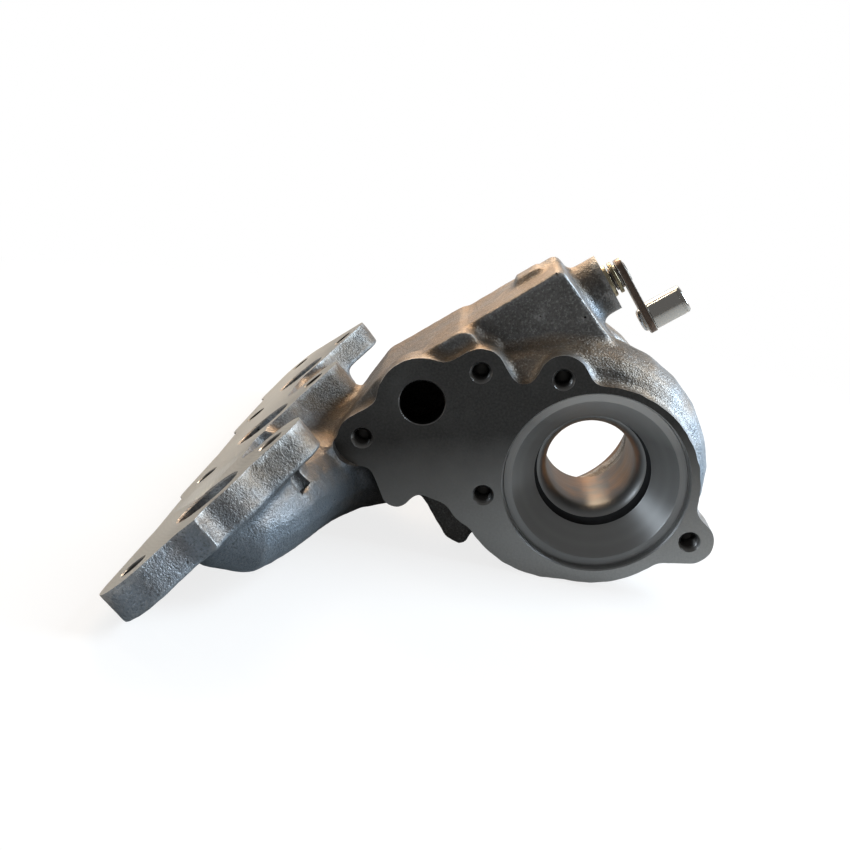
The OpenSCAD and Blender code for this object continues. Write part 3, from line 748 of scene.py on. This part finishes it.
heat_steel, tree, shader, place = new_material("heat_tinted_steel", Metallic=1.0)
tint = speckle(tree, place, 120.0, 3.0)
tone = mixed(tree, fade(tree, tint, 0.35, 0.65), (0.17, 0.15, 0.135), (0.34, 0.31, 0.28))
tree.links.new(tone, shader.inputs["Base Color"])
tree.links.new(fade(tree, tint, 0.3, 0.7, 0.28, 0.42), shader.inputs["Roughness"])
bumped(tree, shader, speckle(tree, place, 1500.0, 2.0), 0.02)

SHAFT_R, COLLAR_R, STEM_R = 4.0, 5.2, 3.0
arm_place = gate @ along_turbine()
arm = [(3 + 6 * math.cos(a), -(40 + 6 * math.sin(a))) for a in np.linspace(math.pi, 2 * math.pi, 17)]
arm += [(8.5, -56.5), (7.5, -57.5), (-1.5, -57.5), (-2.5, -56.5)]
forging = together("gate_spindle", [
    slab("arm", arm, arm_place, 48.7, 53.1),
    turned("hub", [(0, -3.5), (5.0, -3.5), (5.6, -2.8), (5.6, 8.8), (5.0, 9.5), (0, 9.5)],
           along_spindle(), 48)])
remesh(forging, 0.3)
relax(forging, 4)
machine(forging, turned("shaft", [(0, -3.2), (3.6, -3.2), (SHAFT_R, -2.8), (SHAFT_R, 43.0), (4.9, 43.0),
                                  (COLLAR_R, 43.3), (COLLAR_R, 46.2), (4.9, 46.5), (SHAFT_R, 46.5),
                                  (SHAFT_R, 49.4), (4.35, 49.75), (4.1, 50.1), (2.8, 50.25), (0.9, 50.2),
                                  (0, 49.8)], along_spindle(), 64), "UNION")
machine(forging, turned("stem_hole", [(0, 47), (3.2, 47), (3.2, 55), (0, 55)], seat_place, 40))
hardware(forging, heat_steel, "wastegate_spindle", "crank")


# Wastegate flap: a turned valve disc of heat resistant steel with a narrow sealing land. Its
# stem goes through the arm and is riveted over a washer.

valve_steel, tree, shader, place = new_material("valve_steel", Metallic=0.9)
blotches = fade(tree, speckle(tree, place, 160.0, 4.0, 0.65), 0.35, 0.65)
tree.links.new(mixed(tree, blotches, (0.12, 0.11, 0.10), (0.30, 0.285, 0.27)), shader.inputs["Base Color"])
tree.links.new(fade(tree, blotches, 0, 1, 0.5, 0.36), shader.inputs["Roughness"])
bumped(tree, shader, speckle(tree, place, 1400.0, 2.0), 0.03)

flap = turned("gate_flap", [(0, 45.3), (8.6, 45.3), (8.9, 45.2), (11.5, 45.2), (12, 45.7), (12, 47.5),
                            (11.2, 48.3), (10.6, 48.4), (4.6, 48.4), (3.5, 48.65), (STEM_R, 49.1),
                            (STEM_R, 54.9), (3.6, 54.95), (3.5, 55.3), (2.7, 55.5), (0, 55.4)],
              seat_place, 96)
hardware(flap, valve_steel, "wastegate_flap", "crank")


# Flap washer: a small stamped steel disc on the stem, between the arm and the riveted end, with
# its edges rounded by the stamping.

washer = turned("flap_rivet_washer", [(STEM_R, 53.3), (5.3, 53.3), (5.6, 53.6), (5.6, 54.6), (5.3, 54.9),
                                      (STEM_R, 54.9)], seat_place, 64)
hardware(washer, heat_steel, "flap_washer", "crank")


# Ring on the spindle: a thin ring of sintered steel with a shallow groove round its rim. It
# fills the gap between the bushing and the lever and turns with the spindle.

ring = turned("spindle_seal_ring", [(COLLAR_R, 43.8), (6.6, 43.8), (6.9, 44.05), (6.9, 44.5), (6.75, 44.6),
                                    (6.9, 44.7), (6.9, 45.15), (6.6, 45.4), (COLLAR_R, 45.4)],
              along_spindle(), 96)
hardware(ring, sintered, "spindle_ring", "crank")


# Wastegate lever: stamped from 3.2 mm plate, with smooth rolled faces and darker sheared edges
# with a rounded corner. It is riveted on the spindle and has a small stop tab at the pin end.

LEVER_FROM, LEVER_T, LEVER_L, LEVER_R = 46.5, 3.2, 21.4, 6.6
lever_place = (gate @ Matrix.Translation((LEVER_FROM, SPINDLE_Y, SPINDLE_UP))
               @ Matrix.Rotation(math.radians(90), 4, "Y"))
outline = [(LEVER_R * math.cos(a), LEVER_R * math.sin(a))
           for a in np.linspace(math.pi / 2, 3 * math.pi / 2, 25)]
outline += [(LEVER_L + LEVER_R * math.cos(a), LEVER_R * math.sin(a))
            for a in np.linspace(-math.pi / 2, math.radians(67.7), 22)]
outline += [(LEVER_L + 2.5, 9.2), (LEVER_L + 2.1, 9.6), (LEVER_L - 2.1, 9.6), (LEVER_L - 2.5, 9.2),
            (LEVER_L - 2.5, 7.4), (LEVER_L - 3.3, LEVER_R)]
lever = slab("gate_lever", outline, lever_place, 0, LEVER_T)
tool = lever.modifiers.new("Sheared", "BEVEL")
tool.width, tool.segments, tool.limit_method, tool.angle_limit = 0.35 * MM, 2, "ANGLE", math.radians(50)
settle(lever)
machine(lever, together("lever_punch", [
    turned("eye", [(0, -1), (4.0, -1), (4.0, LEVER_T + 1), (0, LEVER_T + 1)], lever_place, 48),
    turned("eye", [(0, -1), (3.6, -1), (3.6, LEVER_T + 1), (0, LEVER_T + 1)],
           lever_place @ Matrix.Translation((LEVER_L, 0, 0)), 48)]))
lever_steel, tree, shader, place = new_material("stamped_steel", Metallic=1.0)
axle = wire(tree, "ShaderNodeVectorMath", {0: wire(tree, "ShaderNodeNewGeometry").outputs["True Normal"],
                                           1: tuple(boss_axis)}, operation="DOT_PRODUCT").outputs["Value"]
flat = fade(tree, maths(tree, "ABSOLUTE", axle), 0.12, 0.9)
rubbed = fade(tree, maths(tree, "ABSOLUTE", maths(tree, "SUBTRACT", flat, 0.5)), 0.2, 0.45, 1.0, 0.0)
tear = speckle(tree, place, 700.0, 3.0)
tone = mixed(tree, flat, (0.17, 0.125, 0.10), (0.42, 0.40, 0.37))
tone = mixed(tree, maths(tree, "MULTIPLY", rubbed, 0.8), tone, (0.62, 0.58, 0.53))
tone = mixed(tree, fade(tree, tear, 0.55, 0.8, 0.0, 0.4), tone, (0.045, 0.035, 0.03))
tree.links.new(tone, shader.inputs["Base Color"])
tree.links.new(fade(tree, tear, 0.3, 0.7, 0.3, 0.45), shader.inputs["Roughness"])
bumped(tree, shader, tear, 0.06)
hardware(lever, lever_steel, "wastegate_lever", "crank", 30)


# Actuator pin: steel, turned and ground bright, with a shank that is riveted over on the inner
# side of the lever and a shallow groove near its rounded end.

SHANK_R, PIN_R, GROOVE_R = 3.6, 6.1, 5.9
pin = turned("actuator_pin", [(0, 44.55), (2.6, 44.55), (4.0, 44.85), (4.8, 45.5), (5.0, 46.1),
                              (5.0, LEVER_FROM), (SHANK_R, LEVER_FROM), (SHANK_R, 49.7), (5.8, 49.7),
                              (PIN_R, 50.0), (PIN_R, 62.8), (GROOVE_R, 62.95), (GROOVE_R, 63.35),
                              (PIN_R, 63.5), (PIN_R, 64.0), (5.98, 64.5), (5.65, 64.9), (5.1, 65.13),
                              (4.4, 65.2), (1.0, 65.2), (0.7, 64.8), (0, 64.6)],
             along_spindle(SPINDLE_Y, SPINDLE_UP - LEVER_L), 96)
bright_steel, tree, shader, place = new_material("ground_steel", Metallic=1.0)
local = wire(tree, "ShaderNodeVectorMath", {0: place, 1: tuple(boss_axis)},
             operation="DOT_PRODUCT").outputs["Value"]
lines = wire(tree, "ShaderNodeTexNoise",
             {"W": maths(tree, "MULTIPLY", local, 9000.0), "Scale": 1.0, "Detail": 2.0},
             noise_dimensions="1D").outputs["Fac"]
tree.links.new(mixed(tree, lines, (0.52, 0.49, 0.45), (0.68, 0.66, 0.62)), shader.inputs["Base Color"])
tree.links.new(fade(tree, lines, 0.3, 0.7, 0.11, 0.17), shader.inputs["Roughness"])
bumped(tree, shader, lines, 0.004, 0.4)
hardware(pin, bright_steel, "lever_pin", "crank")


# The table it stands on, the light and the camera: a plain pale floor, a large window on the
# right and a small low one in front, a warm lamp behind and a warm strip on the left, and the
# view of the photograph.

low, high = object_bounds()
TABLE_R, TABLE_T = 1500, 3
floor = slab("table_top", [point_on_circle(TABLE_R, a) for a in range(0, 360, 6)],
             Matrix.Translation((-60, 30, 0)), low[2] / MM - TABLE_T, low[2] / MM)
table_paint, tree, shader, place = new_material("table_paint", Roughness=0.75)
path = wire(tree, "ShaderNodeLightPath").outputs
paint = mixed(tree, speckle(tree, place, 9.0), (0.86, 0.86, 0.86), (0.90, 0.90, 0.895))
paint = mixed(tree, path["Is Camera Ray"], (0.30, 0.29, 0.28), paint)
tree.links.new(paint, shader.inputs["Base Color"])
bumped(tree, shader, speckle(tree, place, 600.0), 0.05, 0.2)
glow = wire(tree, "ShaderNodeEmission", {"Color": (1, 1, 1, 1), "Strength": 1.0})
spread = wire(tree, "ShaderNodeVectorMath", {0: place}, operation="LENGTH").outputs["Value"]
seen = maths(tree, "MULTIPLY", path["Is Camera Ray"], fade(tree, spread, 0.18, 0.55, 0.80, 1.0))
lit = wire(tree, "ShaderNodeMixShader", {0: seen, 1: shader.outputs[0], 2: glow.outputs[0]})
tree.links.new(lit.outputs[0], tree.nodes["Material Output"].inputs["Surface"])
floor.data.materials.append(table_paint)

world = bpy.data.worlds.new("studio")
scene.world = world
world.use_nodes = True
tree = world.node_tree
tree.nodes.clear()
path = wire(tree, "ShaderNodeLightPath").outputs
facing_way = axes_of(tree, wire(tree, "ShaderNodeTexCoord").outputs["Generated"])
behind = fade(tree, maths(tree, "SUBTRACT", facing_way["Y"], maths(tree, "MULTIPLY", facing_way["Z"], 0.5)),
              -0.1, 0.5, 0.16, 0.9)
shown = maths(tree, "MAXIMUM", path["Is Camera Ray"], path["Is Transmission Ray"])
glossy = wire(tree, "ShaderNodeMix", {0: path["Is Glossy Ray"], 2: 0.36, 3: behind}).outputs[0]
strength = wire(tree, "ShaderNodeMix", {0: shown, 2: glossy, 3: 1.0}).outputs[0]
background = wire(tree, "ShaderNodeBackground", {"Color": (1, 1, 1, 1), "Strength": strength})
tree.links.new(background.outputs[0], wire(tree, "ShaderNodeOutputWorld").inputs["Surface"])


def softbox(name, at, size, watts, colour):
    """A rectangular lamp that looks at the middle of the casting."""
    lamp = bpy.data.lights.new(name, "AREA")
    lamp.shape, lamp.size, lamp.size_y = "RECTANGLE", size[0], size[1]
    lamp.energy, lamp.color = watts, colour
    holder = bpy.data.objects.new(name, lamp)
    holder.location = at
    holder.rotation_euler = (Vector((-0.05, 0.03, 0.0)) - Vector(at)).to_track_quat("-Z", "Y").to_euler()
    scene.collection.objects.link(holder)


softbox("window_right", (0.62, 0.16, 0.50), (0.4, 0.6), 13.5, (0.72, 0.87, 1.0))
softbox("lamp_left", (-0.25, 0.75, 0.60), (0.45, 0.35), 7.0, (1.0, 0.76, 0.52))
softbox("window_low", (-0.46, -0.40, 0.0), (0.16, 0.24), 1.05, (0.78, 0.89, 1.0))
softbox("lamp_strip", (-0.60, 0.28, 0.52), (0.05, 0.5), 1.0, (1.0, 0.86, 0.66))

camera = bpy.data.objects.new("camera", bpy.data.cameras.new("camera"))
scene.collection.objects.link(camera)
right, up, back = (0.9813, 0.0725, 0.1783), (-0.192, 0.2978, 0.9351), (0.0147, -0.9519, 0.3062)
camera.matrix_world = (Matrix.Translation((-0.0634527, -0.365283, 0.1279952))
                       @ Matrix((right, up, back)).transposed().to_4x4())
camera.data.sensor_width = 36.0
camera.data.lens = 42.35
camera.data.clip_start, camera.data.clip_end = 0.01, 20.0
scene.camera = camera
scene.view_settings.view_transform = "Standard"
